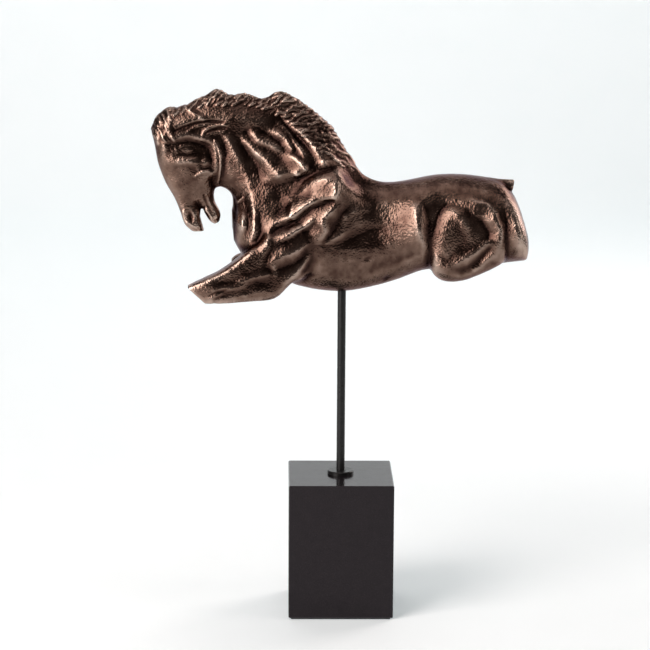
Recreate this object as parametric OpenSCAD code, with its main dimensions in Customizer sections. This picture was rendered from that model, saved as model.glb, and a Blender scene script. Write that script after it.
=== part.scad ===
// Horse figure on a stand: a hollow cast horse on a steel rod, held in a stone block.
// Millimetres, +Z up. The origin is the middle of the face that the stand rests on.
// The horse faces -X, and its near side is -Y.

/* [Base block] */
// Width and depth of the square stone block
base_w = 100; // [90:1:130]
// Height of the table to the top of the block
base_h = 132; // [100:1:160]
// Width of the polished bevel on the block's edges
base_bevel = 1; // [0.5:0.1:3]
// Thickness of the felt sheet under the block
felt_t = 1.5; // [1:0.1:3]
// How far the felt stays inside the block's edges
felt_inset = 2.5; // [1:0.5:8]

/* [Rod and collar] */
// Diameter of the steel rod
rod_d = 8; // [7:0.1:10]
// Diameter of the collar that covers the drilled hole
collar_d = 25; // [20:0.5:34]
// Thickness of the collar
collar_t = 3.5; // [2:0.1:5]
// Radial play between the rod and the horse's socket
socket_play = 0.05; // [0.02:0.01:0.09]
// Radial room round the rod in the block and the washer
hole_room = 0.3; // [0.2:0.05:0.6]

/* [Clamp under the block] */
// Diameter of the recess for the nut
recess_d = 34; // [32:1:50]
// Depth of the recess, measured from the block's underside
recess_h = 16; // [13:1:30]
// Outer diameter of the washer
washer_d = 28; // [22:0.5:30]
// Thickness of the washer
washer_t = 1.6; // [1.2:0.1:3]
// Distance across the flats of the nut
nut_af = 13; // [12.9:0.1:15]
// Thickness of the nut
nut_t = 6.5; // [5:0.1:8]

/* [Horse casting] */
// Height of the belly's lowest point above the table
belly_z = 311; // [300:1:330]
// Thickness of the cast wall
wall = 4; // [3:0.5:5]
// Outer diameter of the steel socket in the belly
socket_d = 14; // [13:0.5:16]
// Depth to which the rod enters the socket
socket_depth = 32; // [20:1:36]

/* [Hidden] */

stone = [0.10, 0.09, 0.10];
black_steel = [0.12, 0.11, 0.12];
zinc = [0.70, 0.70, 0.68];
felt = [0.07, 0.07, 0.07];
bronze = [0.42, 0.30, 0.22];

e = 0.01;                    // overshoot that keeps cuts clean
through = 1;                 // overshoot of cuts that run right through
round_fn = 96;               // exact round parts
skin_sides = 24;             // points round each ring of the trunk, neck and head
skin_steps = 3;              // rings drawn for each one listed
limb_sides = 20;             // points round each ring of a limb
limb_steps = 3;
core_sides = 16;             // points round each ring of the hollow inside
core_steps = 2;
boss_sides = 40;             // faces round the boss and the seat inside it

block_z = felt_t;            // the block stands on its felt
recess_z = block_z + recess_h;
washer_z = recess_z - washer_t;
nut_z = washer_z - nut_t;
rod_out = 2;                 // how far the rod's end stands out of the nut
rod_foot = nut_z - rod_out;
dimple_h = 3;                // depth of the dimple in the belly, up to the socket's face
dimple_flare = 4;            // how much wider its mouth is, all round
socket_z = belly_z + dimple_h;
end_gap = 0.05;              // grease film on the rod's end, which carries the horse
rod_top = socket_z + socket_depth - end_gap;
socket_cap = 4;              // metal above the end of the socket's bore
boss_wall = 4.5;             // thickness of the cast boss round the socket
boss_d = socket_d + 2 * boss_wall;
boss_foot = 2;               // height above the belly where the boss starts, inside its wall
boss_h = dimple_h + socket_depth + socket_cap;
fit_gap = 0.1;               // solder film between socket and boss

// ---- stand -------------------------------------------------------------------------------

module bevelled_box(w, h, b) {
  // A square bar is cut off along each upright, top and bottom edge
  difference() {
    translate([-w / 2, -w / 2, 0]) cube([w, w, h]);
    for (turn = [0:90:270]) rotate([0, 0, turn]) {
      translate([w / 2, w / 2, h / 2]) rotate([0, 0, 45])
        cube([b * sqrt(2), 2 * b * sqrt(2), h + through], center = true);
      for (z = [0, h]) translate([w / 2, 0, z]) rotate([0, 45, 0])
        cube([b * sqrt(2), w + through, b * sqrt(2)], center = true);
    }
  }
}

module base_block() color(stone) difference() {
  translate([0, 0, block_z]) bevelled_box(base_w, base_h - block_z, base_bevel);
  translate([0, 0, block_z - e]) cylinder(d = recess_d, h = recess_h + e, $fn = round_fn);
  cylinder(r = rod_d / 2 + hole_room, h = base_h + through, $fn = round_fn);
}

module felt_pad() color(felt) {
  w = base_w - 2 * felt_inset;
  translate([-w / 2, -w / 2, 0]) cube([w, w, felt_t]);
}

module clamp_washer() color(zinc) translate([0, 0, washer_z]) difference() {
  cylinder(d = washer_d, h = washer_t, $fn = round_fn);
  translate([0, 0, -e])
    cylinder(r = rod_d / 2 + hole_room, h = washer_t + 2 * e, $fn = round_fn);
}

module clamp_nut() color(zinc) translate([0, 0, nut_z]) difference() {
  cylinder(d = nut_af / cos(30), h = nut_t, $fn = 6);
  translate([0, 0, -e]) cylinder(d = rod_d, h = nut_t + 2 * e, $fn = round_fn);
}

module collar() color(black_steel) translate([0, 0, base_h]) rotate_extrude($fn = round_fn) {
  round_r = 0.8;             // broken top edge of the collar
  polygon([[rod_d / 2, 0], [collar_d / 2, 0], [collar_d / 2, collar_t - round_r],
           [collar_d / 2 - round_r, collar_t], [rod_d / 2, collar_t]]);
}

module rod() color(black_steel) {
  tip = 1;                   // bevel on both ends
  translate([0, 0, rod_foot]) cylinder(d1 = rod_d - 2 * tip, d2 = rod_d, h = tip, $fn = round_fn);
  translate([0, 0, rod_foot + tip])
    cylinder(d = rod_d, h = rod_top - rod_foot - 2 * tip, $fn = round_fn);
  translate([0, 0, rod_top - tip]) cylinder(d1 = rod_d, d2 = rod_d - 2 * tip, h = tip, $fn = round_fn);
}

module belly_socket() color(zinc) translate([0, 0, socket_z]) difference() {
  cylinder(d = socket_d, h = socket_depth + socket_cap, $fn = round_fn);
  translate([0, 0, -e])
    cylinder(r = rod_d / 2 + socket_play, h = socket_depth + e, $fn = round_fn);
}

// ---- horse -------------------------------------------------------------------------------
// Each form is a loft through rings, on a casting whose belly is at z = 0. A ring is an ellipse:
// [x and z of its top, x and z of its bottom, half its width, how far off the middle it lies].
// Lofts run from tail to nose, and limbs are cut off flat, as on an old fragment.

trunk = [
  [172, 64, 175.5, 34, 20, 0], [168, 81, 172, 32, 33, 0], [161, 95, 163, 30, 40, 0],
  [148, 107, 148, 28, 39, 0], [130, 111, 130, 22, 39, 0], [110, 113, 112, 20, 38, 0],
  [90, 112, 92, 22, 36, 0], [72, 109, 74, 21, 37, 0], [50, 105, 52, 12, 34, 0],
  [26, 105, 28, 5, 36, 0], [0, 107, 2, 0.5, 38, 0], [-20, 109, -22, 2, 39, 0],
  [-42, 108, -45, 7, 38, 0], [-64, 100, -64, 14, 37, 0], [-84, 90, -82, 24, 34, 0],
  [-100, 88, -98, 38, 24, 0], [-106.5, 78, -104.5, 48, 11, 0]];

neck = [
  [12, 112, -44, 24, 30, 0], [0, 130, -84, 32, 30, 0], [-12, 148, -102, 58, 27, 0],
  [-30, 162, -104, 80, 24, 0], [-52, 172, -105, 92, 21, 0], [-76, 176, -109, 97, 19, 0],
  [-98, 178, -115, 99.5, 17.5, 0], [-120, 178, -122, 99.5, 16.5, 0],
  [-140, 174, -128, 114, 15, 0], [-156, 168, -138, 120, 12, 0]];

face = [
  [-150, 176, -112, 150, 13, 0], [-170, 168, -116, 134, 16, 0], [-181, 153, -119, 116, 18, 0],
  [-178, 139, -121, 106, 18, 0], [-174, 121, -123, 96, 15, 0], [-167, 103, -128, 88, 12, 0],
  [-160, 90, -133, 81, 10, 0], [-153, 74, -134, 70, 9.5, 0], [-150, 64, -132, 62, 9, 0],
  [-143, 57, -131, 57.5, 6, 0]];

jaw = [
  [-150, 122, -118, 112, 17, 0], [-146, 106, -121.5, 98, 13, 0], [-140, 90, -121, 87, 9, 0],
  [-131, 76, -116, 78, 7.5, 0], [-126, 68, -115, 72.5, 6.5, 0], [-121, 64.5, -116, 67.5, 4, 0]];

mane = [
  [34, 105, 28, 92, 6, 0], [18, 114, 4, 96, 9, 0], [6, 131, -8, 112, 11, 0],
  [-6, 150, -22, 128, 12, 0], [-12, 160, -30, 138, 13, 0], [-28, 174, -40, 146, 13, 0],
  [-46, 186, -50, 152, 12, 0], [-60, 191.5, -60, 156, 11, 0], [-76, 184.5, -75, 156, 10, 0],
  [-92, 189.5, -90, 158, 10, 0], [-106, 188, -104, 160, 10, 0], [-118, 193.5, -114, 160, 10, 0],
  [-130, 187, -126, 158, 10, 0], [-144, 180, -138, 155, 10, 0], [-154, 174, -146, 150, 10, 0],
  [-164, 176.5, -152, 146, 10, 0], [-174, 168, -156, 138, 10, 0], [-182, 156, -160, 132, 8, 0],
  [-177, 138, -164, 128, 5, 0]];

near_foreleg = [
  [-24, 66, -30, 24, 12, -22], [-46, 68, -49, 13, 17, -27], [-72, 58, -64, -0.5, 17, -33],
  [-95, 40, -88, -3, 15, -38], [-115, 26, -106, -4, 13, -40], [-130, 19, -120, -4.5, 11.5, -40],
  [-146, 11.5, -128.5, -4.5, 9, -40]];

far_foreleg = [
  [-24, 66, -30, 10, 12, 22], [-48, 64, -50, 6, 16, 27], [-74, 48, -70, 2, 15, 31],
  [-90, 34, -87, 4, 13, 33], [-101, 29, -98, 8, 10.5, 34], [-105.5, 25, -103, 12, 8, 34]];

haunch = [
  [154, 75, 155, 41, 12, 21], [145, 87, 146, 30, 21, 21], [129, 94, 128, 20, 25, 20],
  [112, 95, 112, 14.5, 26, 21], [98, 90, 97, 14, 23, 20], [86, 76, 85, 20, 16, 16],
  [78, 62, 78, 32, 8, 12]];

tail_d = 10;
tail_flare = 6;              // how much thicker the tail is at its root
tail_root = 142;             // x where the tail leaves the croup
tail_tip = 163;              // x of the cut end of the tail
tail_z = 102;                // height of the tail's middle above the belly

function blend(a, b, c, d, t) =   // a smooth step from ring b to ring c
  b + (c - a) * t / 2 + (2 * a - 5 * b + 4 * c - d) * t * t / 2
  + (3 * b - a - 3 * c + d) * t * t * t / 2;

function refined(r, steps) = [
  for (i = [0:len(r) - 2]) for (k = [0:steps - 1])
    blend(r[max(i - 1, 0)], r[i], r[i + 1], r[min(i + 2, len(r) - 1)], k / steps),
  r[len(r) - 1]];

// Points of one ring, moved in by a distance
function ring_points(r, sides, inset) =
  let (middle = [r[0] + r[2], r[1] + r[3]] / 2,
       half = [r[0] - r[2], r[1] - r[3]] / 2,
       shrunk = half * max(1 - inset / norm(half), 0.05),
       width = max(r[4] - inset, 0.5))
  [for (k = [0:sides - 1]) let (a = 360 * k / sides)
    [middle[0] + shrunk[0] * cos(a), r[5] + width * sin(a), middle[1] + shrunk[1] * cos(a)]];

module loft(rings, sides, steps, inset = 0) {
  fine = refined(rings, steps);
  last = len(fine) - 1;
  polyhedron(
    points = [for (r = fine) each ring_points(r, sides, inset)],
    faces = concat(
      [[for (k = [0:sides - 1]) k]],
      [for (i = [0:last - 1]) for (k = [0:sides - 1]) let (m = (k + 1) % sides)
        each [[i * sides + k, (i + 1) * sides + k, (i + 1) * sides + m],
              [i * sides + k, (i + 1) * sides + m, i * sides + m]]],
      [[for (k = [sides - 1:-1:0]) last * sides + k]]),
    convexity = 6);
}

module both_sides() {
  children();
  mirror([0, 1, 0]) children();
}

module horse_skin() {
  for (rings = [trunk, neck, face, jaw, mane]) loft(rings, skin_sides, skin_steps);
  for (rings = [near_foreleg, far_foreleg]) loft(rings, limb_sides, limb_steps);
  both_sides() loft(haunch, limb_sides, limb_steps);
  translate([tail_root, 0, tail_z]) rotate([0, 90, 0])
    cylinder(d1 = tail_d + tail_flare, d2 = tail_d, h = tail_tip - tail_root, $fn = limb_sides);
}

module horse_core() {
  inner = [for (i = [1:len(trunk) - 3]) trunk[i]];
  neck_inner = [for (i = [1:len(neck) - 3]) neck[i]];
  for (rings = [inner, neck_inner]) loft(rings, core_sides, core_steps, wall);
}

module horse_casting() color(bronze) translate([0, 0, belly_z]) difference() {
  union() {
    difference() {
      horse_skin();
      horse_core();
    }
    translate([0, 0, boss_foot]) cylinder(d = boss_d, h = boss_h - boss_foot, $fn = boss_sides);
  }
  // the socket's seat runs right through the boss, and opens in a dimple in the belly
  translate([0, 0, -through])
    cylinder(d = socket_d + 2 * fit_gap, h = boss_h + 2 * through, $fn = boss_sides);
  translate([0, 0, -through])
    cylinder(d1 = socket_d + 2 * dimple_flare, d2 = socket_d, h = dimple_h + through, $fn = boss_sides);
}

base_block();
felt_pad();
clamp_washer();
clamp_nut();
collar();
rod();
belly_socket();
horse_casting();
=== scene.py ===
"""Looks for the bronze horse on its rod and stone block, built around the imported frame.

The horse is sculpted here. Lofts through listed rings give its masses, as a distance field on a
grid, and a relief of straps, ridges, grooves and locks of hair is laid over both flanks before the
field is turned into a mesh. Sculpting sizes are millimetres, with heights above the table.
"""
import math
import random

import bpy
import numpy as np
import openvdb
from mathutils import Matrix, Vector


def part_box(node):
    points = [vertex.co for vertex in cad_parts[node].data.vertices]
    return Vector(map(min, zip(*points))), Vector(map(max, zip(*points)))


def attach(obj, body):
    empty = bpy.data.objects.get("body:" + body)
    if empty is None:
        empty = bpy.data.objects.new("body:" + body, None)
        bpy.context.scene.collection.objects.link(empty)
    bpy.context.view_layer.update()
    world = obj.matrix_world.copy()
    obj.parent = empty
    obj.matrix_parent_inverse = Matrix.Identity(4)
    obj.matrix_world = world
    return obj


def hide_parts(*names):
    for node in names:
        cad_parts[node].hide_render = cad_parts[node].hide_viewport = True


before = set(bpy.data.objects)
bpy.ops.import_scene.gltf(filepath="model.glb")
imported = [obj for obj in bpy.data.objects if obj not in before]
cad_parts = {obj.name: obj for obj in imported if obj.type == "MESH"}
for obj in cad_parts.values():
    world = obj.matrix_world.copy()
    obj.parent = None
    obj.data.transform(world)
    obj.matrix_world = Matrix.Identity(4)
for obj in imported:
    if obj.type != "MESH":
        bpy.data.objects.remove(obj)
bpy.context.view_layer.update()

MM = 0.001                      # metres in a millimetre
horse_low, horse_high = [Vector(corner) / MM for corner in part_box("horse_casting")]

# ---- camera -----------------------------------------------------------------------------------
EYE = Vector((-66, -2567, 796))  # where the camera stands
LOOK_DOWN = math.radians(11.41)
TURN = math.radians(1.12)        # to the right
ROLL = math.radians(0.36)
SENSOR, LENS = 36, 151.9         # width of the sensor and focal length


def add_camera():
    data = bpy.data.cameras.new("camera")
    data.sensor_width = SENSOR
    data.lens = LENS
    camera = bpy.data.objects.new("camera", data)
    bpy.context.collection.objects.link(camera)
    forward = Vector((math.sin(TURN) * math.cos(LOOK_DOWN), math.cos(TURN) * math.cos(LOOK_DOWN),
                      -math.sin(LOOK_DOWN)))
    level = Vector((math.cos(TURN), -math.sin(TURN), 0))
    upright = level.cross(forward)
    right = level * math.cos(ROLL) + upright * math.sin(ROLL)
    up = upright * math.cos(ROLL) - level * math.sin(ROLL)
    turn = Matrix((right, up, -forward)).transposed().to_4x4()
    camera.matrix_world = Matrix.Translation(EYE * MM) @ turn
    bpy.context.scene.camera = camera


# ---- clay: a distance field on a grid ---------------------------------------------------------
STEP = 0.75
MARGIN = 4                       # empty space round the horse
REACH = 12                       # how far round a form its distances are worked out
FAR = 30.0                       # distances are kept below this
RING_STEPS = 4                   # a loft's rings are joined by this many steps each
LINE_STEPS = 24                  # and the points of a line on the relief
STROKE_STEPS = 5                 # and those of a stroke
THIN_END = 0.3                   # width of a stroke's ends, as a part of its middle's
SHEET_BLUR = 4                   # passes that soften the relief's crests and valleys
WAVE_SIZE, WAVE_DEPTH = 13.0, 0.9        # length of the relief's gentle wavering, and its reach
DENT_SIZE, DENT_DEPTH = 3.5, 0.07        # size and depth of the dents of the cast surface
SIDE_BLEND = 8                   # width of the middle band where a flank's relief fades out
DEPTH_BLUR, HAIR_BLUR, PATINA_BLUR = 3, 1, 3     # passes for the surface's depth, the locks, the patina
SWEEPS = 30                      # passes that even out a sheet at each coarseness
COARSEST = 6                     # cells across the coarsest map that a sheet is stretched on
THINNEST = 0.5                   # least half height of a ring
JUST_INSIDE = 1.001              # keeps a place inside the last cell of a map
xs = np.arange(horse_low.x - MARGIN, horse_high.x + MARGIN, STEP, dtype=np.float32)
ys = np.arange(horse_low.y - MARGIN, -horse_low.y + MARGIN, STEP, dtype=np.float32)
zs = np.arange(horse_low.z - MARGIN, horse_high.z + MARGIN, STEP, dtype=np.float32)
X, Z = np.meshgrid(xs, zs, indexing="ij")


def span(axis, low, high):
    """The part of an axis that lies between two values."""
    return slice(int(np.searchsorted(axis, low)), int(np.searchsorted(axis, high)))


def refined(rows, steps):
    """Rows of numbers, with rows on a smooth curve put in between them."""
    rows = np.array(rows, dtype=float)
    last = len(rows) - 1
    out = []
    for i in range(last):
        a, b = rows[max(i - 1, 0)], rows[i]
        c, d = rows[i + 1], rows[min(i + 2, last)]
        for t in np.arange(steps) / steps:
            out.append(b + (c - a) * t / 2 + (2 * a - 5 * b + 4 * c - d) * t ** 2 / 2
                       + (3 * b - a - 3 * c + d) * t ** 3 / 2)
    out.append(rows[last])
    return np.array(out)


def ease(values):
    """Turns 0 to 1 into a curve that starts and ends level."""
    values = np.clip(values, 0, 1)
    return values * values * (3 - 2 * values)


def blurred(values, passes, axes):
    """Evens out an array: each pass mixes every value with its neighbours along each axis."""
    for axis in axes:
        for _ in range(passes):
            before, after = np.roll(values, 1, axis), np.roll(values, -1, axis)
            values = (before + 2 * values + after) / 4
    return values


def sample_map(values, x, z):
    """Values of a map of the side view at places given in millimetres."""
    fx = np.clip((x - xs[0]) / STEP, 0, len(xs) - JUST_INSIDE)
    fz = np.clip((z - zs[0]) / STEP, 0, len(zs) - JUST_INSIDE)
    ix, iz = fx.astype(int), fz.astype(int)
    fx, fz = fx - ix, fz - iz
    return ((values[ix, iz] * (1 - fx) + values[ix + 1, iz] * fx) * (1 - fz)
            + (values[ix, iz + 1] * (1 - fx) + values[ix + 1, iz + 1] * fx) * fz)


def smooth_min(a, b, blend):
    """The smaller of two distances, with the corner between two forms filled over a width of blend."""
    h = np.maximum(blend - np.abs(a - b), 0) / blend
    return np.minimum(a, b) - h * h * blend / 4


def add_loft(clay, rings, blend, power=2.0, both=False):
    """Adds a form drawn through rings, melting it into what is there over a width of blend.

    A ring is [x and z of its top, x and z of its bottom, half width, offset from the middle].
    power makes its section squarer, and both repeats the form on the far side.
    """
    fine = refined(rings, RING_STEPS)
    top, bottom = fine[:, 0:2], fine[:, 2:4]
    middle, half = (top + bottom) / 2, (top - bottom) / 2
    reach = np.maximum(np.linalg.norm(half, axis=1), THINNEST)
    low = np.minimum(top, bottom).min(axis=0) - REACH
    high = np.maximum(top, bottom).max(axis=0) + REACH
    out_y = np.abs(fine[:, 5]).max() + fine[:, 4].max() + REACH
    window = (span(xs, low[0], high[0]), span(ys, -out_y, out_y), span(zs, low[1], high[1]))
    x, z, y = X[window[0], window[2]], Z[window[0], window[2]], ys[window[1]]

    normal = np.stack([half[:, 1], -half[:, 0]], axis=1) / reach[:, None]
    forward = np.gradient(middle, axis=0)
    normal *= np.where(np.sum(normal * forward, axis=1) < 0, -1, 1)[:, None]
    along = ((x[..., None] - middle[:, 0]) * normal[:, 0]
             + (z[..., None] - middle[:, 1]) * normal[:, 1])

    best = np.full(x.shape, 1e6)
    # Maps of the rise above the ring's middle, half height, half width, offset and distance past the end
    maps = np.zeros((5,) + x.shape)
    maps[1:3] = 1
    last = len(fine) - 2
    for i in range(last + 1):
        before, after = along[..., i], along[..., i + 1]
        t = before / np.where(before == after, 1e-6, before - after)
        within = ((before >= 0) | (i == 0)) & ((after < 0) | (i == last))
        t = np.clip(t, 0, 1)
        mx = middle[i, 0] + (middle[i + 1, 0] - middle[i, 0]) * t
        mz = middle[i, 1] + (middle[i + 1, 1] - middle[i, 1]) * t
        hx = half[i, 0] + (half[i + 1, 0] - half[i, 0]) * t
        hz = half[i, 1] + (half[i + 1, 1] - half[i, 1]) * t
        size = np.maximum(np.hypot(hx, hz), THINNEST)
        gap = np.hypot(x - mx, z - mz)
        nearer = within & (gap < best)
        best = np.where(nearer, gap, best)
        past = -before if i == 0 else after if i == last else -FAR
        values = (np.abs((x - mx) * hx + (z - mz) * hz) / size, size,
                  fine[i, 4] + (fine[i + 1, 4] - fine[i, 4]) * t,
                  fine[i, 5] + (fine[i + 1, 5] - fine[i, 5]) * t, past)
        for k, value in enumerate(values):
            maps[k] = np.where(nearer, value, maps[k])

    rise, tall, wide, side, past = maps.astype(np.float32)[:, :, None, :]
    u = rise / tall
    across = np.abs(y) if both else y
    v = np.abs(across[None, :, None] - side) / wide
    k = np.maximum((u ** power + v ** power) ** (1 / power), 1e-3)
    slope = np.sqrt(((u / k) ** (power - 1) / tall) ** 2 + ((v / k) ** (power - 1) / wide) ** 2)
    field = np.maximum((k - 1) / np.maximum(slope, 1e-3), past)
    clay[window] = smooth_min(clay[window], np.clip(field, -FAR, FAR), blend)


# ---- the horse's masses, from tail to nose ----------------------------------------------------
TRUNK = [
    [174.5, 370, 175, 348, 28, 0], [171, 382, 173.5, 343, 38, 0], [166.5, 395, 168, 342, 42, 0],
    [160.5, 406.5, 162, 341, 42, 0], [149, 417.5, 149, 339, 38.5, 0], [130, 421.5, 130, 334, 39.5, 0],
    [110, 423.5, 112, 331, 38, 0], [90, 423, 92, 333, 36, 0], [73, 420, 75, 332, 39.5, 0],
    [50, 416, 52, 323, 33.5, 0], [26, 416, 28, 316, 30.5, 0], [0, 417, 2, 311.5, 34, 0],
    [-20, 419, -22, 313, 38, 0], [-42, 418, -45, 318, 38, 0], [-64, 410, -64, 325, 37, 0],
    [-84, 401, -82, 335, 35, 0], [-97, 397, -96, 349, 28, 0], [-103, 388, -102.5, 360, 16, 0]]
NECK = [
    [30, 408, -30, 345, 8, 0], [14, 424, -50, 338, 21, 0], [0, 441, -84, 343, 34, 0],
    [-12, 459, -101, 369, 29, 0], [-30, 473, -103.5, 391, 22, 0], [-52, 483, -104.5, 403, 19, 0],
    [-76, 487, -109, 408.5, 17, 0], [-98, 488, -115, 411, 16, 0], [-120, 488, -122, 411, 15, 0],
    [-140, 485, -128, 425, 13.5, 0], [-156, 479, -138, 431, 11, 0]]
FACE = [
    [-150, 487, -112, 461, 12, 0], [-168, 481, -116, 445, 15, 0], [-179, 466, -119, 427, 17.5, 0],
    [-177, 450, -121, 417, 17, 0], [-173.5, 432, -123, 407, 14, 0], [-166.5, 414, -128, 399, 11.5, 0],
    [-159, 401, -133, 392, 9.5, 0], [-152.5, 385, -134, 381, 9, 0], [-149, 375, -132, 373, 8.5, 0],
    [-142, 368.5, -131, 369, 6, 0]]
JAW = [
    [-150, 433, -119, 423, 15, 0], [-146, 417, -121.5, 409, 11, 0], [-140, 401, -121, 398, 8, 0],
    [-131, 387, -116, 388, 7, 0], [-126, 379, -115, 383.5, 6.5, 0], [-121, 375.5, -116, 378.5, 4, 0]]
MANE = [
    [34, 415, 28, 403, 5, 0], [18, 424, 4, 407, 8, 0], [6, 441, -8, 423, 10, 0],
    [-6, 460, -22, 439, 11, 0], [-12, 469, -30, 449, 11, 0], [-28, 483, -40, 457, 11, 0],
    [-46, 495.5, -50, 463, 10, 0], [-60, 501, -60, 467, 9, 0], [-76, 494, -75, 467, 8, 0],
    [-92, 499, -90, 469, 8, 0], [-106, 497.5, -104, 471, 8, 0], [-118, 503, -114, 471, 8, 0],
    [-130, 496.5, -126, 469, 8, 0], [-144, 489.5, -138, 466, 8, 0], [-154, 483.5, -146, 461, 9, 0],
    [-164, 486.5, -152, 457, 9, 0], [-174, 478, -156, 452, 7, 0], [-180.5, 466, -161, 450, 4, 0]]
NEAR_FORELEG = [
    [-20, 368, -26, 342, 6, -20], [-34, 376, -38, 328, 13, -25], [-46, 379, -49, 324, 17, -27],
    [-72, 369, -64, 310.5, 16, -29.5], [-95, 351, -88, 308, 14.5, -33],
    [-115, 337, -106, 307, 12.5, -36], [-130, 330, -120, 306.5, 11, -38],
    [-146, 322.5, -128.5, 306.5, 8.5, -38]]
FAR_FORELEG = [
    [-20, 368, -26, 338, 6, 20], [-34, 374, -38, 322, 13, 24], [-48, 375, -50, 317, 16, 27],
    [-74, 359, -70, 313, 15, 29], [-90, 345, -87, 315, 12.5, 31], [-101, 340, -98, 319, 10, 32],
    [-105.5, 336, -103, 323, 8, 32]]
SHOULDER = [
    [-46, 402, -40, 384, 5, 27], [-31, 421, -28, 376, 8, 28], [-17, 428, -15, 374, 9, 28.5],
    [-5, 427, -3, 376, 9, 28.5], [6, 413, 5, 382, 8, 25], [18, 402, 17, 387, 6, 20],
    [30, 396, 29, 390, 3, 12]]
HAUNCH = [
    [153, 388, 154, 349, 16.5, 19], [147.5, 398, 148, 341, 21.5, 20], [130, 405, 128, 331, 24, 19],
    [112, 406, 112, 325.5, 25, 19], [98, 402, 97, 325, 24, 19], [88, 392, 87, 330, 22, 17.5],
    [82, 378, 81.5, 340, 18, 16]]
TAIL = [
    [140, 419, 140, 405, 9, 0], [150, 419, 153, 406, 6.5, 0], [157, 418.8, 159, 407.5, 5.5, 0],
    [162.5, 418.5, 161, 409, 5, 0]]


def build_masses():
    clay = np.full((len(xs), len(ys), len(zs)), FAR, dtype=np.float32)
    add_loft(clay, TRUNK, blend=1, power=2.2)
    add_loft(clay, NECK, blend=8, power=2.5)
    add_loft(clay, MANE, blend=5)
    add_loft(clay, FACE, blend=4, power=2.6)
    add_loft(clay, JAW, blend=4, power=2.4)
    add_loft(clay, NEAR_FORELEG, blend=7, power=5)
    add_loft(clay, FAR_FORELEG, blend=7, power=2.4)
    add_loft(clay, SHOULDER, blend=16, power=2.4, both=True)
    add_loft(clay, HAUNCH, blend=5, power=2.8, both=True)
    add_loft(clay, TAIL, blend=3)
    return clay


# ---- relief: what is modelled on the flanks, drawn as it looks from the camera ----------------
# Lines of known height on the flanks: the crests of muscles and folds, and the valleys between them.
# A point is (x, z, height). The surface is stretched over the lines, and its planes lie between them.
HEAD_LINES = [
    # face crest and the line of the forehead
    [(-176, 463, 0.2), (-170, 456, 0.9), (-168, 448, 1.2), (-168.5, 441, 1.0), (-164.5, 434, 1.0),
     (-164, 426, 0.5), (-160, 414, 0.4), (-153, 398, 0.3)],
    [(-166, 456, -0.4), (-163.5, 448, -0.9), (-164, 441, -0.6)],
    # brow, round the cheek to the jaw
    [(-162, 459.5, 0.6), (-154, 459.5, 1.1), (-142, 459, 1.2), (-131, 458, 1.3), (-125, 455, 1.3),
     (-121.5, 449, 1.5), (-119.5, 441, 1.6), (-118.5, 432, 1.6), (-120.5, 425, 1.4), (-127, 421.5, 0.9),
     (-135, 419.5, 0.5)],
    # socket of the eye
    [(-160, 452, -1.0), (-152, 453.5, -1.6), (-143, 454, -1.8), (-134, 453.5, -1.8), (-128, 450, -1.8),
     (-125, 444, -1.0), (-124, 437, -0.2)],
    [(-159, 443, -1.4), (-149, 441, -2.2), (-140, 441, -2.2), (-135, 444, -1.4)],
    # cheek bone and the plane under it
    [(-162, 435, 0.7), (-152, 435.5, 1.1), (-142, 435.5, 1.2), (-136, 434, 0.9)],
    [(-159, 430, -0.2), (-149, 430.5, -0.4), (-141, 428, -0.6), (-136, 424.5, -0.2)],
    [(-160, 420, 0.1), (-148, 420, 0.2), (-137, 414, 0.2), (-130, 409, 0.1)],
    [(-124, 419, -0.7), (-121, 415, -1.0), (-119, 412, -1.1)],
    [(-113, 457, -0.9), (-111, 446, -1.3), (-111, 434, -1.4), (-112.5, 422, -1.3), (-114.5, 413, -0.8)]]
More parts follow.
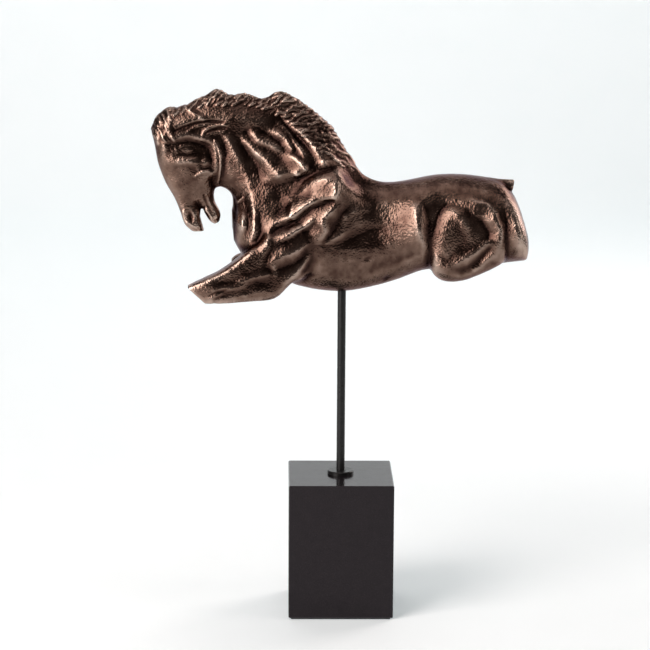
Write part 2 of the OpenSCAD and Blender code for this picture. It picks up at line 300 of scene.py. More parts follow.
NECK_LINES = [
    # roll of the crest and the hollow under it
    [(-158, 482, 0.4), (-144, 485, 1.2), (-126, 487, 1.6), (-102, 487, 1.8), (-82, 486, 1.8),
     (-64, 481, 1.2), (-50, 476, 0.6)],
    [(-160, 469, 0.6), (-148, 473, 1.4), (-134, 476, 2.2), (-118, 477, 2.5), (-102, 476.5, 2.8),
     (-88, 476, 2.8), (-76, 476, 2.0)],
    [(-159, 463, -0.2), (-150, 466, -0.4), (-138, 468, -0.4), (-124, 469, -0.2), (-108, 467.5, 0.2),
     (-98, 466, 0.0), (-86, 467, 0.0), (-76, 469.5, 0.4)],
    # from the throat to the breast
    [(-112, 458, 0.8), (-105, 450, 1.2), (-99, 439, 1.5), (-94, 427, 1.7), (-90, 416, 2.2),
     (-87, 406, 2.8), (-84.5, 396, 2.8), (-82.5, 386, 2.2), (-83, 374, 1.6), (-86, 364, 1.2),
     (-88.5, 355, 0.8), (-87, 347, 0.4)],
    [(-113, 446, 0.0), (-109, 432, 0.2), (-105, 417, 0.4), (-99, 404, 0.4), (-92, 398, 0.2),
     (-90, 388, -0.6), (-89, 377, -1.0), (-91, 366, -0.8), (-95, 361, -0.4)],
    # second cord, the broad one
    [(-102, 461, -1.2), (-96, 453.5, -1.8), (-90, 446, -2.0), (-84, 436, -1.9), (-80, 427, -1.6),
     (-78, 418, -0.8), (-78, 408, 0.4), (-78, 394, 0.8), (-78, 382, 0.0), (-77.5, 372, -1.8),
     (-79.5, 362, -1.8), (-82, 350, -1.0)],
    [(-93, 455.5, -0.4), (-85, 449, 1.0), (-77, 441.5, 2.4), (-70, 434.5, 3.4), (-63, 427, 3.8),
     (-59.5, 420, 2.6)],
    [(-68, 413, -2.2), (-62, 407, -3.4), (-60, 396, -4.0)],
    [(-66, 438, 1.6), (-60, 431, 2.2), (-55, 427, 1.8)],
    # third and fourth
    [(-91, 466, -2.1), (-87, 458, -1.6), (-80, 452, -0.5), (-70, 447, -0.4), (-61, 441, -0.3),
     (-53.5, 435, 0.1), (-47.5, 428.5, 1.0), (-43, 421, 3.1)],
    [(-88, 466, -0.5), (-84, 460, 1.0), (-78, 455, 1.7), (-68, 451, 1.8), (-58, 448, 1.5)],
    [(-51, 443, 2.2), (-45, 438, 4.2), (-39, 432, 5.3), (-35, 427, 4.6)],
    [(-76, 464, -1.5), (-67, 458, -1.6), (-59, 452, -1.1), (-53, 446, -0.3), (-46, 441, 0.9),
     (-39, 436, 1.8)],
    [(-70, 466, -0.5), (-62, 461.5, 1.4), (-54, 457.5, 2.5), (-49, 451.5, 2.9), (-47, 445, 2.4)],
    # fifth and sixth
    [(-66, 471, -1.4), (-58, 464.5, -0.5), (-51, 457.5, -0.1), (-46.5, 450, 0.3), (-42, 443, 1.0)],
    [(-66, 474, -1.0), (-57, 467.5, 0.4), (-49.5, 460.5, 1.5), (-45, 453, 2.4), (-40, 446, 2.7),
     (-35, 439.5, 2.6)],
    [(-60, 470, -1.7), (-51, 465, -2.2), (-43.5, 459, -2.3), (-37.5, 452, -1.9), (-31.5, 444, -0.9),
     (-26, 436.5, 1.2)],
    [(-60, 474, -1.0), (-51, 470, 0.5), (-42, 464.5, 1.9), (-34.5, 457, 2.9), (-27.5, 448.5, 3.6),
     (-21, 441, 3.5), (-17, 433, 3.1)],
    [(-32, 463, 0.0), (-26, 456, 0.6), (-20, 448, 1.3)],
    [(-62, 411, -3.4), (-52, 414, -4.6), (-42, 417, -5.2), (-32, 421, -4.4), (-20, 425, -2.4),
     (-8, 429, -1.2)]]
SHOULDER_LINES = [
    # cap of the shoulder and the strokes behind it
    [(-34, 404, -3.4), (-32.5, 410, -3.4), (-28, 416, -1.6), (-19, 419.5, 1.6), (-11, 420, 3.6)],
    [(-29, 401.5, -0.8), (-20, 400, 1.8), (-12, 400, 4.0), (-7, 402, 5.8), (-5, 409, 6.4), (-6, 417, 5.4)],
    [(0, 404, 2.0), (4, 408.5, 2.6), (10, 414, 1.0)],
    # first strap, with a pit above it
    [(-62, 382, -2.4), (-56, 391, -3.6), (-48, 396.5, -4.2), (-39, 401, -3.8), (-32, 403, -2.8)],
    [(-58, 399, -4.2), (-50, 404, -5.0), (-42, 408, -5.2)],
    [(-58, 377.5, 0.8), (-48.5, 383, 2.2), (-40, 388.5, 2.4), (-32, 394, 1.8), (-25, 398.5, 0.6)],
    [(-62, 371, -1.2), (-51, 374, -2.2), (-41, 379, -2.8), (-33, 385, -3.0), (-26, 391, -2.6),
     (-17, 396, -2.0), (-9, 398.5, -1.0)],
    # second strap
    [(-56, 361, 0.4), (-47, 366, 1.2), (-38, 371, 1.6), (-31, 376, 1.6), (-26, 380, 1.4)],
    [(-60, 355, -1.4), (-50, 361, -1.6), (-40, 366.5, -1.8), (-31, 371, -1.6), (-25.5, 376.5, -0.4)],
    # edge behind the shoulder blade, and the wedge behind it
    [(-2, 397, 0.8), (-7, 393, 1.8), (-11.5, 388, 2.8), (-15, 380, 3.2), (-18, 371, 2.8),
     (-20.5, 363, 1.8), (-24, 356, 0.8)],
    [(5, 393, -1.0), (1, 386, -2.6), (-5, 376, -3.2), (-11, 367, -2.4), (-17, 359, -0.6)],
    # third strap, and the back of the upper arm
    [(-68, 340, 1.0), (-60, 343.5, 1.8), (-50, 348, 2.2), (-40, 352.5, 2.0), (-31, 356, 1.0)],
    [(-66, 330, -0.8), (-57, 333, -1.8), (-48, 337.5, -2.4), (-40, 343.5, -2.0), (-32, 350.5, -0.6)],
    [(-60, 311, 0.6), (-53, 318, 1.0), (-45, 328, 1.4), (-38, 336.5, 1.4), (-32, 345, 0.8)],
    [(-50, 314, -0.8), (-42, 323, -1.0), (-35, 332, -1.0), (-28, 342, -0.6)],
    # front of the upper arm
    [(-58, 377.5, 0.6), (-65, 374, 0.8), (-69.5, 367, 0.8), (-72, 358, 1.0), (-75, 348, 0.9),
     (-78, 340, 0.5), (-81, 333, 0.0)],
    [(-63, 369, -1.0), (-66, 361, -1.2), (-68.5, 352, -1.2), (-71, 344, -0.9), (-74, 336, -0.5)],
    [(-69, 340, 0.4), (-66, 334, 1.2), (-62.5, 326, 0.4)],
    [(-72, 333, -1.0), (-69, 325, -0.6)],
    # forearm
    [(-99, 345, 0.3), (-91, 345.5, 0.8), (-84, 342, 0.4)],
    [(-96, 338, 0.0), (-112, 328, 0.2), (-128, 321, 0.2)],
    [(-64, 327, 0.6), (-76, 326, 1.2), (-88, 323, 1.1), (-98, 320.5, 0.4)],
    [(-88, 329, -0.4), (-98, 323, -0.6), (-108, 318.5, -1.0), (-118, 317, -0.6)],
    [(-94, 315, 0.6), (-104, 313.5, 0.9), (-114, 313, 0.9), (-124, 310.5, 0.6)],
    [(-66, 315, -0.5), (-75, 318, -0.9), (-86, 317.5, -0.6), (-94, 310, -0.7), (-104, 309, -0.5),
     (-114, 308, -0.6)],
    [(-64, 308, 0.4), (-80, 308.5, 0.6), (-94, 305.5, 0.6), (-112, 303.5, 0.4)]]
TRUNK_LINES = [
    # ribs
    [(-16, 358, 0.1), (-5, 364.5, 0.2), (8, 371, 0.2), (20, 377, 0.2), (30, 381, 0.0), (38, 384.5, 0.0)],
    [(-8, 357, -0.4), (5, 361.5, -1.0), (17, 366.5, -1.7), (28, 371, -2.2), (37, 372, -1.8),
     (44, 367, -0.6)],
    [(-8, 352, 0.1), (10, 352, 0.1), (30, 352, 0.1), (50, 352, 0.2)],
    # lower edge of the loin, and the flap in front of the thigh
    [(8, 387, 0.4), (25, 388.5, 0.4), (42, 391.5, 0.6), (56, 396.5, 1.0), (65, 401, 1.0)],
    [(2, 383, -0.2), (14, 384.5, -0.4), (26, 385.5, -0.4)],
    [(66, 400, 1.0), (69, 391, 2.6), (71.5, 381, 3.7), (73.5, 370, 3.7), (75.5, 359, 2.4), (77, 350, 1.2),
     (79, 342, 0.4)],
    [(73, 402, -0.4), (78, 394, -1.4), (81, 384, -2.0), (82.5, 373, -2.2), (83.5, 362, -2.0),
     (84, 352, -1.6), (84.5, 343, -1.0), (83, 335, -0.4)],
    # fold from the belly to the stifle
    [(10, 317.5, 0.1), (30, 326, 0.5), (48, 333, 0.6), (64, 340, 0.6), (76, 346.5, 0.4)],
    [(6, 323, -0.1), (28, 332, -0.1), (50, 339, -0.2), (68, 346, -0.1)],
    # calm places
    [(16, 398, 0.0), (40, 402, 0.0), (70, 408, 0.0), (100, 409, 0.0), (126, 407, 0.0)],
    [(-34, 328, 0.0), (-18, 322, 0.0), (4, 334, 0.0), (26, 342, 0.0), (50, 346, 0.0)]]
STUMP_LINES = [
    # rim of the cut thigh, all the way round
    [(118, 400, 0.4), (128, 399, 1.6), (137, 394.5, 2.6), (145, 386, 3.6), (149, 375.5, 3.9),
     (150.5, 363, 3.8), (149.5, 352, 2.8), (144.5, 343.5, 1.8), (134, 335, 1.6), (122, 327, 1.4),
     (112, 325, 1.0), (102, 325.5, 0.8), (94, 329.5, 0.6), (89, 338, 0.0), (86, 348, -0.4),
     (84.5, 359, -0.6), (85, 371, -0.6), (88, 383, -0.4), (95, 393, -0.2), (106, 399, 0.0),
     (118, 400, 0.4)],
    # furrow outside it, and the buttock
    [(131, 402, 0.0), (140, 396.5, 0.8), (147.5, 388, 1.6), (152, 377, 1.9), (153.5, 364, 1.9),
     (152.5, 351, 1.6), (148, 342, 0.8)],
    [(140, 403, 0.8), (150, 401, 1.8), (158, 396, 2.6), (164, 387, 3.2), (168, 376, 3.2),
     (170, 364, 3.0), (169.5, 353, 2.6), (166, 345, 1.2)],
    # floor of the cut
    [(121, 392, -0.8), (127, 384, -1.4), (133, 379, -3.0), (137, 371, -2.9), (138, 362, -2.2)],
    [(99, 393, -1.6), (109, 392.5, -2.0), (118, 389.5, -2.0), (123, 384, -2.0)],
    [(89, 382, -1.8), (93, 388, -2.0), (98, 392, -1.8)],
    [(102, 389, -1.0), (110, 384.5, -0.2), (117, 378, 0.4), (121, 371, 0.2)],
    [(96, 382, -1.4), (103, 377, -1.6), (110, 371.5, -1.8), (117, 363, -2.2), (113, 353, -2.6),
     (105, 346, -2.4), (98, 343, -2.0), (93, 347, -1.4), (88.5, 356, -0.9)],
    [(88, 372, -0.8), (96, 369, -1.0), (103, 364, -1.4)],
    [(88, 360, -0.6), (93.5, 353, -1.2), (99, 346, -1.6)],
    [(121, 362, -0.8), (129, 365, -0.4)],
    [(113, 346, -2.0), (121, 351, -1.4), (130, 357, -0.6)],
    [(104, 334.5, -0.4), (113, 338, 0.5), (123, 345.5, 0.9), (133, 353, 1.2), (141, 358.5, 1.4)],
    [(111, 330, -0.8), (118, 331.5, -1.8), (127, 338, -2.2), (135, 345, -2.2), (141, 352, -1.0)]]
ALL_LINES = HEAD_LINES + NECK_LINES + SHOULDER_LINES + TRUNK_LINES + STUMP_LINES


def relaxed(height, known):
    """Evens out heights, except where they are known."""
    fixed = height
    for _ in range(SWEEPS):
        around = (np.roll(height, 1, 0) + np.roll(height, -1, 0)
                  + np.roll(height, 1, 1) + np.roll(height, -1, 1)) / 4
        height = np.where(known, fixed, around)
    return height


def stretched(height, known):
    """A sheet stretched over the known heights, worked out on coarser and coarser maps first."""
    if min(height.shape) > COARSEST:
        wide, tall = [size + size % 2 for size in height.shape]
        padding = [(0, wide - height.shape[0]), (0, tall - height.shape[1])]
        fours = (wide // 2, 2, tall // 2, 2)
        count = np.pad(known, padding).reshape(fours).sum(axis=(1, 3))
        total = np.pad(height * known, padding).reshape(fours).sum(axis=(1, 3))
        coarse = stretched(total / np.maximum(count, 1), count > 0)
        finer = coarse.repeat(2, 0).repeat(2, 1)[:height.shape[0], :height.shape[1]]
        height = np.where(known, height, finer)
    return relaxed(height, known)


def sheet_over(lines, outside):
    """The sheet over the lines, which meets the silhouette at height 0."""
    total, count = np.zeros(X.shape), np.zeros(X.shape)
    for line in lines:
        rows = refined(line, LINE_STEPS)
        ix = np.round((rows[:, 0] - xs[0]) / STEP).astype(int)
        iz = np.round((rows[:, 1] - zs[0]) / STEP).astype(int)
        np.add.at(total, (ix, iz), rows[:, 2])
        np.add.at(count, (ix, iz), 1)
    known = (count > 0) | outside
    return stretched(np.where(count > 0, total / np.maximum(count, 1), 0), known)


def draw(points, half_width):
    """A stroke through points on the relief: 1 along its middle, 0 at its edges, thin at both ends."""
    middle = refined(points, STROKE_STEPS)
    count = len(middle)
    fullness = np.sqrt(np.sin(math.pi * np.linspace(0.02, 0.98, count)))
    width = half_width * (THIN_END + (1 - THIN_END) * fullness)
    low, high = middle.min(axis=0) - half_width, middle.max(axis=0) + half_width
    window = (span(xs, low[0], high[0]), span(zs, low[1], high[1]))
    x, z = X[window], Z[window]
    best = np.zeros(x.shape)
    for i in range(count - 1):
        a, ab = middle[i], middle[i + 1] - middle[i]
        t = np.clip(((x - a[0]) * ab[0] + (z - a[1]) * ab[1]) / max(ab @ ab, 1e-6), 0, 1)
        gap = np.hypot(x - a[0] - ab[0] * t, z - a[1] - ab[1] * t)
        best = np.maximum(best, 1 - gap / (width[i] + (width[i + 1] - width[i]) * t))
    return window, best


class Relief:
    """A map of heights. Strokes of one layer don't pile up: the highest one counts."""

    def __init__(self, height):
        self.height = height

    def layer(self, strokes, sign=1):
        """Adds strokes, each (height, half width, points)."""
        highest = np.zeros(X.shape)
        for height, half_width, points in strokes:
            window, q = draw(points, half_width)
            highest[window] = np.maximum(highest[window], height * ease(q))
        self.height += sign * highest

    def mound(self, x, z, radius_x, radius_z, height, lean):
        """Adds a round rise, or a hollow where height is negative. lean turns it, in degrees."""
        c, s = math.cos(math.radians(lean)), math.sin(math.radians(lean))
        a = ((X - x) * c + (Z - z) * s) / radius_x
        b = ((Z - z) * c - (X - x) * s) / radius_z
        self.height += height * ease(1 - np.hypot(a, b))


SMALL_RIDGES = [
    # second line of the jaw, ear, eyelids, corner of the eye
    (1.6, 1.6, [(-121, 456), (-117, 446), (-115.3, 436), (-115.8, 424), (-117.5, 414)]),
    (1.3, 1.6, [(-132, 459.5), (-130.5, 464), (-124, 468), (-115, 470), (-109, 469)]),
    (0.7, 1.4, [(-130, 460), (-121, 462), (-111, 463.5)]),
    (1.0, 1.5, [(-147, 462.5), (-140, 467), (-131, 470), (-122, 471)]),
    (0.8, 1.6, [(-154.5, 448), (-150, 450), (-144, 450.5), (-139, 448.5)]),
    (0.7, 1.1, [(-158.5, 449), (-156, 442.5)]),
    # cheek, lips and chin
    (1.2, 1.5, [(-140, 420.5), (-133, 424.5), (-125, 427)]),
    (1.4, 1.7, [(-151, 388), (-150, 380), (-146.5, 376)]),
    (0.8, 1.2, [(-129, 404), (-125.5, 396), (-121, 388), (-118, 382)]),
    (1.0, 1.3, [(-132, 389.5), (-127, 386), (-123, 380)]),
    # breast
    (1.4, 1.8, [(-101, 396), (-94, 401)])]
SMALL_GROOVES = [
    (1.4, 1.3, [(-120, 453), (-117.4, 444), (-116.6, 436), (-117.3, 425)]),
    (1.4, 1.8, [(-158, 464), (-149, 468), (-138, 471.5), (-124, 473), (-112, 472.5)]),
    (1.2, 1.8, [(-127, 463.5), (-119, 466), (-110, 466.5)]),
    (1.6, 1.6, [(-134.5, 381), (-132.5, 387), (-130, 393)]),
    (0.9, 1.3, [(-131.5, 403), (-128.5, 395), (-124.5, 388)]),
    (1.0, 1.5, [(-147, 374.5), (-142, 371), (-136, 369.5)]),
    # breast and forearm
    (1.6, 1.8, [(-103, 402), (-100.5, 392), (-101.5, 380)]),
    (1.0, 1.4, [(-110, 312), (-119, 309.5), (-127, 305.5)]),
    (1.0, 1.3, [(-108, 306.5), (-116, 305), (-123, 302)])]


# Rises and hollows: x, z, half length, half height, how far they rise, and their lean in degrees
MOUNDS = [
    (-147, 446, 8, 4.5, 0.9, 0),             # eye
    (-131, 449.5, 6, 5, -0.8, 0),            # hollow behind the eye
    (-129.5, 434.5, 6, 7, 1.8, 0),           # boss of the cheek
    (-143.5, 382, 4, 8, -2.2, 15),           # nostril
    (-137.5, 392, 8, 8, -1.8, -25),          # corner of the mouth
    (-95, 377, 7.5, 14, 4.5, 0),             # oval on the breast
    (24, 342, 7, 3, -0.8, 25),               # dents in the belly
    (-30, 326, 7, 3, -1.0, 0),
    (42, 323.5, 6, 3, -1.2, 35)]


def uneven(seed, size):
    """A map of gentle random bumps, about size millimetres apart, most of them between -1 and 1."""
    rng = np.random.default_rng(seed)
    cells = rng.normal(size=(int(np.ptp(xs) / size) + 4, int(np.ptp(zs) / size) + 4))
    fx, fz = (X - xs[0]) / size + 1, (Z - zs[0]) / size + 1
    ix, iz = fx.astype(int), fz.astype(int)
    fx, fz = ease(fx - ix), ease(fz - iz)
    return ((cells[ix, iz] * (1 - fx) + cells[ix + 1, iz] * fx) * (1 - fz)
            + (cells[ix, iz + 1] * (1 - fx) + cells[ix + 1, iz + 1] * fx) * fz)


def carve_flanks(outside):
    """The relief that both flanks share."""
    sheet = blurred(sheet_over(ALL_LINES, outside), SHEET_BLUR, (0, 1))
    sheet = sample_map(sheet, X + WAVE_DEPTH * uneven(1, WAVE_SIZE),
                       Z + WAVE_DEPTH * uneven(2, WAVE_SIZE))
    relief = Relief(sheet + DENT_DEPTH * uneven(3, DENT_SIZE))
    relief.layer(SMALL_RIDGES)
    relief.layer(SMALL_GROOVES, sign=-1)
    for mound in MOUNDS:
        relief.mound(*mound)
    return relief.height


def shift_to_surface(height, y_map):
    """Moves the relief from the middle plane, where it is drawn as the camera sees it, to where the
    surface is. y_map holds the surface's distance from the middle plane."""
    scale = -EYE.y / (-EYE.y - y_map)
    seen_x = EYE.x + (X - EYE.x) * scale
    seen_z = EYE.z + (Z - EYE.z) * scale
    return sample_map(height, seen_x, seen_z)


# ---- hair -------------------------------------------------------------------------------------
# Along the mane, from brow to withers: x, height of its lower edge, height of its top, and the
# angle at which its locks lie
MANE_FLOW = np.array([
    [-160, 479, 487, 52], [-150, 483, 487, 48], [-140, 487, 495, 44], [-128, 488.5, 501, 42],
    [-118, 489, 506, 42], [-106, 489.5, 500, 40], [-92, 490.5, 502, 38], [-77, 488, 497, 33],
    [-60, 483, 504, 28], [-48, 475, 501, 20], [-38, 466, 493, 10], [-28, 456, 487, 0],
    [-20, 446, 481, -12], [-10, 438, 469, -28], [0, 431, 452, -40], [12, 426, 436, -40]])
MANE_START, MANE_END = -162, 12      # x of its first and last locks
LOCK_TRIES = 4000                    # places tried for a lock; most are taken already
THIN_HAIR = -70                      # in front of this the locks are short and stand apart
SHORT_LOCK, LONG_LOCK = (7.5, 3.6), (11.5, 3.0)      # length of a lock, and the room across it
CROWDING = 0.9                       # a place nearer to a lock than this part of its room is taken
LOCK_LEAN = 14                       # degrees that a lock strays from the flow
LOCK_BOW = 0.14                      # how far a lock bends, as a part of its length
LOCK_HEIGHT = (1.0, 2.5)             # least and most, as for the strands of the forelock
STRANDS = 26
STRAND_X, STRAND_Z = (-178, -161), (455, 480)        # where they hang over the brow
STRAND_FALL = np.array([2.0, -4.5])  # half a strand
STRAND_HEIGHT, STRAND_WIDTH = (0.8, 1.8), (1.2, 1.8)


def comb_mane(seed):
    """Locks of hair for one side of the mane, laid side by side along its flow, and the forelock."""
    rng = random.Random(seed)
    taken = np.empty((0, 2))
    locks = []
    for _ in range(LOCK_TRIES):
        x = rng.uniform(MANE_START, MANE_END)
        low, high, angle = [np.interp(x, MANE_FLOW[:, 0], MANE_FLOW[:, k]) for k in (1, 2, 3)]
        length, gap = SHORT_LOCK if x < THIN_HAIR else LONG_LOCK
        start = np.array([x, rng.uniform(low, high)])
        lean = math.radians(angle + rng.uniform(-LOCK_LEAN, LOCK_LEAN))
        along = np.array([math.cos(lean), math.sin(lean)])
        across = np.array([-along[1], along[0]])
        offsets = (taken - start) @ np.stack([along / length, across / gap], axis=1)
        if (np.hypot(offsets[:, 0], offsets[:, 1]) < CROWDING).any():
            continue
        taken = np.vstack([taken, start])
        length *= rng.uniform(0.8, 1.5)
        bow = rng.uniform(-LOCK_BOW, LOCK_BOW) * length
        points = [start - along * length / 2, start - along * length / 6 + across * bow,
                  start + along * length / 5 - across * bow / 2, start + along * length / 2]
        locks.append((rng.uniform(*LOCK_HEIGHT), gap * rng.uniform(0.40, 0.58), points))
    for _ in range(STRANDS):
        place = np.array([rng.uniform(*STRAND_X), rng.uniform(*STRAND_Z)])
        fall = STRAND_FALL * rng.uniform(0.8, 1.4)
        locks.append((rng.uniform(*STRAND_HEIGHT), rng.uniform(*STRAND_WIDTH),
                      [place - fall, place + (rng.uniform(-1, 1), 0), place + fall]))
    return locks


# ---- from clay to bronze ----------------------------------------------------------------------
def surface_depth(clay, far_side):
    """How far the surface lies from the middle plane, at each place in the side view."""
    solid = clay < 0
    inward = np.flip(solid, axis=1) if far_side else solid
    y = np.flip(ys) if far_side else ys
    depth = np.abs(y[np.argmax(inward, axis=1)])
    depth = np.where(solid.any(axis=1), depth, 0)
    return blurred(depth, DEPTH_BLUR, (0, 1))


def add_relief(clay):
    """Lays the shared relief and each side's own locks over the flanks."""
    shared = carve_flanks((clay > 0).all(axis=1))
    for far_side, seed in ((False, 7), (True, 19)):
        relief = Relief(shared.copy())
        relief.layer(comb_mane(seed))
        height = blurred(relief.height, HAIR_BLUR, (0, 1))
        height = shift_to_surface(height, surface_depth(clay, far_side))
        toward = ys if far_side else -ys
        weight = ease(0.5 + toward / SIDE_BLEND)[None, :, None]
        clay -= (height[:, None, :] * weight).astype(np.float32)


# Furrows in the middle plane, between the buttocks and down the breast: x, how far they reach along x,
# height of their ends, half width and depth
FURROWS = [(174, 16, 350, 402, 4, 4.0), (-104, 18, 352, 392, 4, 2.5)]
FURROW_END = 14                  # length over which a furrow's ends run out


def part_middle(clay):
    """Cuts the furrows."""
    for x, half_length, low, high, half_width, depth in FURROWS:
        along_x = ease(1 - np.abs(xs - x) / half_length)[:, None, None]
        up = (ease((zs - low) / FURROW_END) * ease((high - zs) / FURROW_END))[None, None, :]
        over = ease(1 - np.abs(ys) / half_width)[None, :, None]
        clay += (depth * along_x * up * over).astype(np.float32)


def sampled(values, points, stride):
    """Values of a grid, or of every stride-th cell of it, at points, by the nearest eight cells."""
    place = (points - np.array([xs[0], ys[0], zs[0]])) / (STEP * stride)
    place = np.clip(place, 0, np.array(values.shape) - JUST_INSIDE)
    cell = place.astype(int)
    part = place - cell
    total = 0
    for corner in np.ndindex(2, 2, 2):
        weight = np.prod(np.where(corner, part, 1 - part), axis=1)
        total = total + weight * values[tuple((cell + corner).T)]
    return total


TRIANGLES = 190_000              # the finished horse has about this many


def mesh_from_grid(clay):
    """A closed mesh of squares along the clay's surface."""
    grid = openvdb.FloatGrid(FAR)
    grid.copyFromArray(clay)
    points, _, quads = grid.convertToPolygons(isovalue=0, adaptivity=0)
    mesh = bpy.data.meshes.new("horse")
    mesh.vertices.add(len(points))
    mesh.vertices.foreach_set("co", ((points * STEP + [xs[0], ys[0], zs[0]]) * MM).ravel())
    mesh.loops.add(quads.size)
    mesh.loops.foreach_set("vertex_index", quads.ravel())
    mesh.polygons.add(len(quads))
    mesh.polygons.foreach_set("loop_start", np.arange(0, quads.size, 4))
    mesh.update(calc_edges=True)
    return mesh


def thinned(mesh, name):
    """An object with the mesh brought down to TRIANGLES, where it is flat first."""
    piece = bpy.data.objects.new(name, mesh)
    bpy.context.collection.objects.link(piece)
    triangles = 2 * len(mesh.polygons)
    thin = piece.modifiers.new("thin", "DECIMATE")
    thin.ratio = min(1.0, TRIANGLES / triangles)
    done = bpy.data.meshes.new_from_object(piece.evaluated_get(bpy.context.evaluated_depsgraph_get()))
    piece.modifiers.clear()
    piece.data = done
    bpy.data.meshes.remove(mesh)
    return piece


def mark_hollows(piece, clay):
    """Stores on each vertex how far it stands proud of what is close to it, and of a wider area. The
    bronze uses these to darken the hollows, as patina and as painted shade, and to lighten the high parts
    as rubbed wear.
    """
    count = len(piece.data.vertices)
    places = np.empty(count * 3)
    piece.data.vertices.foreach_get("co", places)
    points = places.reshape(-1, 3) / MM
    here = sampled(clay, points, 1)
    for name, stride in (("proud", 2), ("raised", 4)):
        coarse = blurred(clay[::stride, ::stride, ::stride], PATINA_BLUR, (0, 1, 2))
        mark = piece.data.attributes.new(name, "FLOAT", "POINT")
        mark.data.foreach_set("value", sampled(coarse, points, stride) - here)


def make_horse():
    clay = build_masses()
    add_relief(clay)
    part_middle(clay)
    piece = thinned(mesh_from_grid(clay), "bronze_horse")
    mark_hollows(piece, clay)
    piece.data.shade_smooth()
    piece.data.materials.append(bronze())
    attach(piece, "figure")
    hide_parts("horse_casting")


# ---- materials --------------------------------------------------------------------------------
# Sizes given to noise and grains are millimetres. Colours are linear red, green and blue.
class Nodes:
    """A small helper to build a material's node tree."""

    def __init__(self, name):
        self.material = bpy.data.materials.new(name)
        self.material.use_nodes = True
        self.tree = self.material.node_tree
        self.shader = self.tree.nodes["Principled BSDF"]

    def add(self, kind, **settings):
        node = self.tree.nodes.new("ShaderNode" + kind)
        for key, value in settings.items():
            setattr(node, key, value)
        return node

    def join(self, source, target):
        self.tree.links.new(source, target)

    def place(self):
        """Coordinates in metres that stay with the piece."""
        return self.add("TexCoord").outputs["Object"]

    def noise(self, size, detail=3.0, roughness=0.55, distortion=0.0):
        """Noise whose lumps are about size millimetres."""
        node = self.add("TexNoise")
        node.inputs["Scale"].default_value = 1 / (size * MM)
        node.inputs["Detail"].default_value = detail
        node.inputs["Roughness"].default_value = roughness
        node.inputs["Distortion"].default_value = distortion
        self.join(self.place(), node.inputs["Vector"])
        return node.outputs["Fac"]

    def grains(self, size, feature="F1"):
        """Cells of about size millimetres."""
        node = self.add("TexVoronoi", feature=feature)
        node.inputs["Scale"].default_value = 1 / (size * MM)
        self.join(self.place(), node.inputs["Vector"])
        return node.outputs["Distance"]

    def ramp(self, source, *stops):
        """A colour ramp, each stop a position and a colour or a grey."""
        node = self.add("ValToRGB")
        ramp = node.color_ramp
        while len(ramp.elements) < len(stops):
            ramp.elements.new(0.5)
        for element, (position, colour) in zip(ramp.elements, stops):
            element.position = position
            grey = isinstance(colour, (int, float))
            element.color = (colour, colour, colour, 1) if grey else (*colour, 1)
        self.join(source, node.inputs["Fac"])
        return node.outputs["Color"]

    def spread(self, source, low, high, to_low, to_high):
        """Maps low to high onto to_low to to_high."""
        node = self.add("MapRange")
        for name, value in (("From Min", low), ("From Max", high), ("To Min", to_low),
                            ("To Max", to_high)):
            node.inputs[name].default_value = value
        self.join(source, node.inputs["Value"])
        return node.outputs["Result"]

    def math(self, operation, a, b):
        node = self.add("Math", operation=operation)
        for socket, value in zip(node.inputs, (a, b)):
            if isinstance(value, (int, float)):
                socket.default_value = value
            else:
                self.join(value, socket)
        return node.outputs["Value"]

    def mix(self, factor, a, b, blend="MIX"):
        """Two colours or outputs mixed. Sockets 6 and 7 are the node's colour inputs."""
        node = self.add("Mix", data_type="RGBA", blend_type=blend)
        for socket, value in ((node.inputs[0], factor), (node.inputs[6], a), (node.inputs[7], b)):
            if isinstance(value, (int, float)):
                socket.default_value = value
            elif isinstance(value, tuple):
                socket.default_value = (*value, 1)
            else:
                self.join(value, socket)
        return node.outputs[2]

    def bump(self, height, depth):
        """Raises the surface by depth millimetres where height is 1."""
        node = self.add("Bump")
        node.inputs["Strength"].default_value = 1.0
        node.inputs["Distance"].default_value = depth * MM
        self.join(height, node.inputs["Height"])
        self.join(node.outputs["Normal"], self.shader.inputs["Normal"])

    def set(self, **values):
        for name, value in values.items():
            self.shader.inputs[name.replace("_", " ")].default_value = value


def bronze():
    """Brown patina over cast bronze, rubbed bright on the high parts. The hollows are darkened, as patina
    and as painted shade.
    """
    n = Nodes("bronze")
    proud = n.add("Attribute", attribute_name="proud").outputs["Fac"]
    raised = n.add("Attribute", attribute_name="raised").outputs["Fac"]
    cloudy = n.noise(16, 4)
    # darker in the hollows, as patina and as painted shade; lighter on the high parts, as rubbed wear
    wear_patina_and_painted_shade = n.math("ADD", n.spread(proud, -0.7, 0.7, -0.5, 0.25), n.spread(raised, -2.0, 2.0, -0.4, 0.3))
    level = n.math("ADD", wear_patina_and_painted_shade, n.spread(cloudy, 0.3, 0.7, 0.38, 0.68))
    colour = n.ramp(level, (0.0, (0.020, 0.010, 0.008)), (0.28, (0.066, 0.037, 0.028)),
                    (0.50, (0.155, 0.098, 0.075)), (0.75, (0.29, 0.205, 0.165)),
                    (1.0, (0.44, 0.335, 0.275)))
    n.join(colour, n.shader.inputs["Base Color"])
    fine = n.noise(1.4, 2)
    n.join(n.spread(n.math("ADD", fine, cloudy), 0.7, 1.3, 0.14, 0.27), n.shader.inputs["Roughness"])
    pebbles = n.spread(n.grains(1.7, "SMOOTH_F1"), 0, 0.7, 1, 0)
    height = n.math("ADD", n.math("MULTIPLY", pebbles, 0.45),
                    n.math("ADD", n.noise(5, 4), n.math("MULTIPLY", fine, 0.3)))
    n.bump(height, 0.52)
    n.set(Metallic=1.0, Specular_Tint=(0.66, 0.58, 0.60, 1))
    return n.material


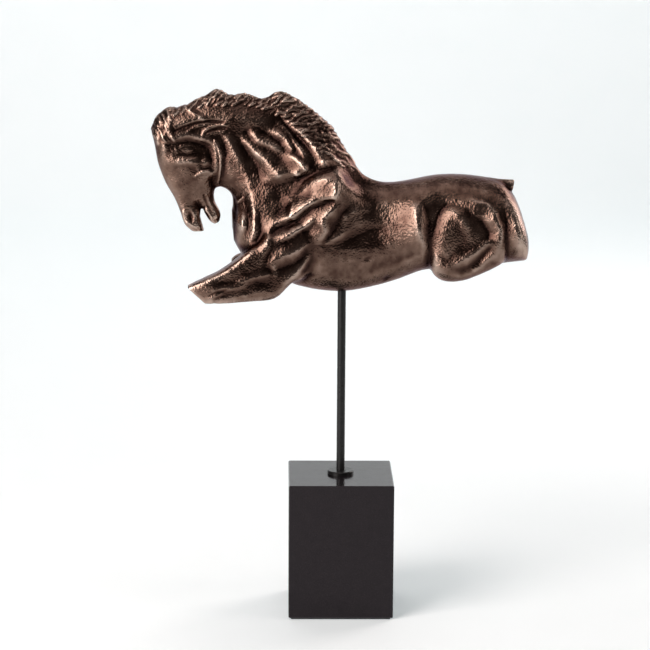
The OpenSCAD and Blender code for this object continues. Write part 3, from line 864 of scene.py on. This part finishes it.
def granite():
    n = Nodes("granite")
    speck = n.ramp(n.grains(1.1), (0.0, (0.045, 0.040, 0.043)), (0.16, (0.013, 0.011, 0.012)),
                   (1.0, (0.008, 0.007, 0.008)))
    cloud = n.mix(n.noise(6, 5), (0.75, 0.75, 0.78), (1.25, 1.2, 1.2))
    n.join(n.mix(1.0, speck, cloud, "MULTIPLY"), n.shader.inputs["Base Color"])
    n.join(n.spread(n.noise(9, 3), 0.3, 0.7, 0.10, 0.20), n.shader.inputs["Roughness"])
    n.bump(n.noise(2.5, 3), 0.02)
    n.set(IOR=1.3, Specular_Tint=(0.95, 0.86, 0.92, 1))
    return n.material


def black_enamel():
    n = Nodes("black_enamel")
    n.join(n.ramp(n.noise(5, 3), (0.3, 0.006), (0.7, 0.012)), n.shader.inputs["Base Color"])
    n.join(n.spread(n.noise(3, 2), 0.3, 0.7, 0.26, 0.40), n.shader.inputs["Roughness"])
    n.bump(n.noise(0.8, 2), 0.03)
    n.set(IOR=1.3, Coat_Weight=0.12, Coat_Roughness=0.15)
    return n.material


def zinc():
    n = Nodes("zinc")
    n.join(n.ramp(n.grains(1.6), (0.0, (0.50, 0.50, 0.49)), (1.0, (0.72, 0.72, 0.70))),
           n.shader.inputs["Base Color"])
    n.join(n.spread(n.noise(2, 3), 0.3, 0.7, 0.30, 0.48), n.shader.inputs["Roughness"])
    n.bump(n.noise(1.2, 2), 0.03)
    n.set(Metallic=1.0)
    return n.material


def felt():
    n = Nodes("felt")
    fibres = n.noise(0.9, 5, 0.7, 1.5)
    n.join(n.ramp(fibres, (0.25, (0.010, 0.010, 0.011)), (0.75, (0.045, 0.045, 0.048))),
           n.shader.inputs["Base Color"])
    n.bump(fibres, 0.4)
    n.set(Roughness=0.95, Sheen_Weight=0.35)
    return n.material


def paper():
    """The pale ground that the statue stands on."""
    n = Nodes("paper")
    n.join(n.ramp(n.noise(60, 3), (0.3, 0.86), (0.7, 0.88)), n.shader.inputs["Base Color"])
    n.set(Roughness=0.8, Emission_Color=(0.7, 0.95, 1.0, 1), Emission_Strength=0.18)
    return n.material


CAD_LOOKS = {"base_block": granite, "felt_pad": felt, "clamp_washer": zinc, "clamp_nut": zinc,
             "collar": black_enamel, "rod": black_enamel, "belly_socket": zinc}


def dress_stand():
    """Gives the CAD nodes their materials, one material for all nodes that share a look."""
    made = {}
    for node, look in CAD_LOOKS.items():
        if look not in made:
            made[look] = look()
        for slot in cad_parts[node].material_slots:
            slot.material = made[look]


# ---- studio -----------------------------------------------------------------------------------
def add_floor():
    """One sheet that runs back flat and then curves up behind the statue. Sizes are in metres."""
    mesh = bpy.data.meshes.new("ground")
    # The bend starts so far back that a camera behind the statue still stands in front of it.
    width, front, back, bend, height = 3.0, -1.3, 2.3, 0.5, 3.0
    profile = [(front, 0.0)]
    bend_steps = 12
    for k in range(bend_steps + 1):
        a = math.pi / 2 * k / bend_steps
        profile.append((back + bend * math.sin(a), bend * (1 - math.cos(a))))
    profile.append((back + bend, height))
    vertices = [(side * width, y, z) for y, z in profile for side in (-1, 1)]
    faces = [(2 * k, 2 * k + 1, 2 * k + 3, 2 * k + 2) for k in range(len(profile) - 1)]
    mesh.from_pydata(vertices, [], faces)
    mesh.shade_smooth()
    ground = bpy.data.objects.new("ground", mesh)
    bpy.context.collection.objects.link(ground)
    mesh.materials.append(paper())


WARM = (1.0, 0.93, 0.90)         # colour of most lamps


def add_softbox(name, place, target, width, height, power, colour=(1, 1, 1)):
    """A rectangular lamp at place, turned to target. Sizes are in metres, power in watts."""
    data = bpy.data.lights.new(name, "AREA")
    data.shape = "RECTANGLE"
    data.size, data.size_y = width, height
    data.energy = power
    data.color = colour
    lamp = bpy.data.objects.new(name, data)
    bpy.context.collection.objects.link(lamp)
    lamp.location = place
    lamp.rotation_euler = (Vector(target) - Vector(place)).to_track_quat("-Z", "Y").to_euler()


def add_light():
    add_softbox("key", (-1.26, -1.20, 1.0), (0, 0, 0.52), 1.2, 2.0, 46, WARM)
    add_softbox("ceiling", (-0.2, -0.2, 2.2), (0, 0, 0.4), 2.0, 1.4, 9, (1.0, 0.94, 0.94))
    add_softbox("side", (1.7, -0.5, 0.9), (0, 0, 0.5), 0.8, 1.5, 5, WARM)
    add_softbox("wall", (0, 1.4, 2.2), (0, 3.0, 0.5), 3.0, 0.6, 26)
    add_softbox("back", (1.3, 1.2, 1.1), (0, 0, 0.5), 0.8, 1.6, 14, WARM)
    world = bpy.data.worlds.new("room")
    bpy.context.scene.world = world
    world.use_nodes = True
    world.node_tree.nodes["Background"].inputs["Color"].default_value = (0.10, 0.092, 0.092, 1)
    world.node_tree.nodes["Background"].inputs["Strength"].default_value = 1.0
    bpy.context.scene.view_settings.view_transform = "Standard"


add_camera()
add_floor()
add_light()
dress_stand()
make_horse()
